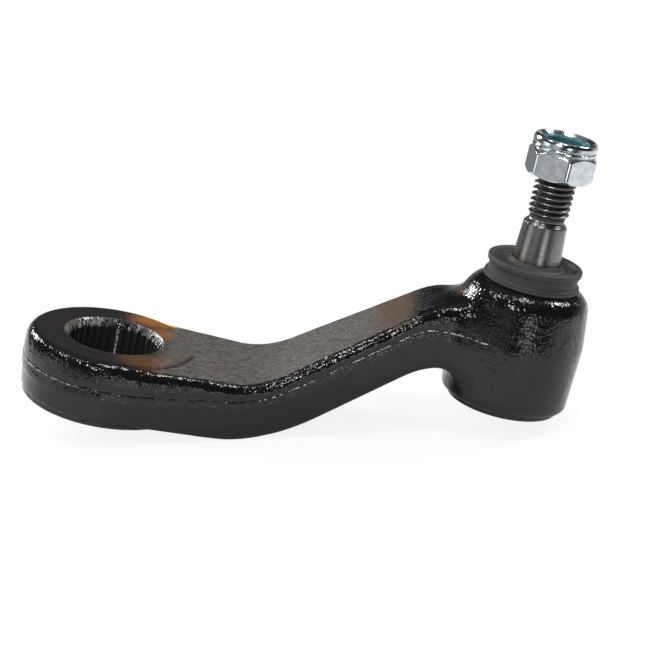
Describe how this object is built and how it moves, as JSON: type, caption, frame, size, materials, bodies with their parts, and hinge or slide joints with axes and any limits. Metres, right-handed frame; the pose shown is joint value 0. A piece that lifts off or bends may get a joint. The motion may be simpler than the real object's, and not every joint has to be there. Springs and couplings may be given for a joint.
{
  "type": "pitman arm",
  "caption": "Forged steering arm with a splined eye at one end and a tapered ball stud in a sealed socket at the other.",
  "frame": {"origin": "axis of the splined eye on its machined top face", "axes": "+Z along the eye's axis towards the stud's side, +X towards the ball joint, whose axis is parallel to +Z at rest"},
  "size_m": [0.1883, 0.0604, 0.1222],
  "materials": {
    "painted_forging": "thick gloss black paint over a rough forging, browned on the eye and the arm",
    "bearing_polymer": "moulded, smooth",
    "bearing_steel": "ground and oiled",
    "spring_steel": "drawn wire",
    "painted_cover": "gloss black paint over pressed steel",
    "machined_steel": "turned, bare steel with fine tool marks",
    "boot_rubber": "moulded, matt dark grey",
    "zinc_plate": "bright bluish zinc plate",
    "nylon": "blue-green nylon"
  },
  "bodies": {
    "arm": {"arm_forging": "painted_forging", "cover_plate": "painted_cover", "preload_spring": "spring_steel", "dust_boot": "boot_rubber"},
    "bearing": {"socket_bearing": "bearing_polymer", "pressure_cup": "bearing_steel"},
    "ball": {"half_ball": "bearing_steel"},
    "stud": {"tapered_stud": "machined_steel"},
    "nut_ring": {"nylon_insert": "nylon"},
    "nut": {"lock_nut": "zinc_plate"}
  },
  "joints": [
    {"name": "stud_swivel", "type": "hinge", "parent": "arm", "child": "bearing", "pos_m": [0.1353, 0, 0.033], "axis": [0, 0, 1], "continuous": true},
    {"name": "stud_tilt", "type": "hinge", "parent": "bearing", "child": "ball", "pos_m": [0.1353, 0, 0.033], "axis": [0, 1, 0], "range_deg": [-18, 18], "deforming": ["dust_boot"]},
    {"name": "stud_spin", "type": "hinge", "parent": "ball", "child": "stud", "pos_m": [0.1353, 0, 0.033], "axis": [0, 0, 1], "continuous": true},
    {"name": "nut_travel", "type": "slide", "parent": "stud", "child": "nut_ring", "axis": [0, 0, 1], "range_m": [-0.011, 0.006]},
    {"name": "nut_turn", "type": "hinge", "parent": "nut_ring", "child": "nut", "pos_m": [0.1353, 0, 0.0909], "axis": [0, 0, 1], "range_deg": [-1982, 1082]}
  ],
  "couplings": [
    {"joint": "nut_turn", "follows": "nut_travel", "rad_per_m": 3141.6}
  ]
}
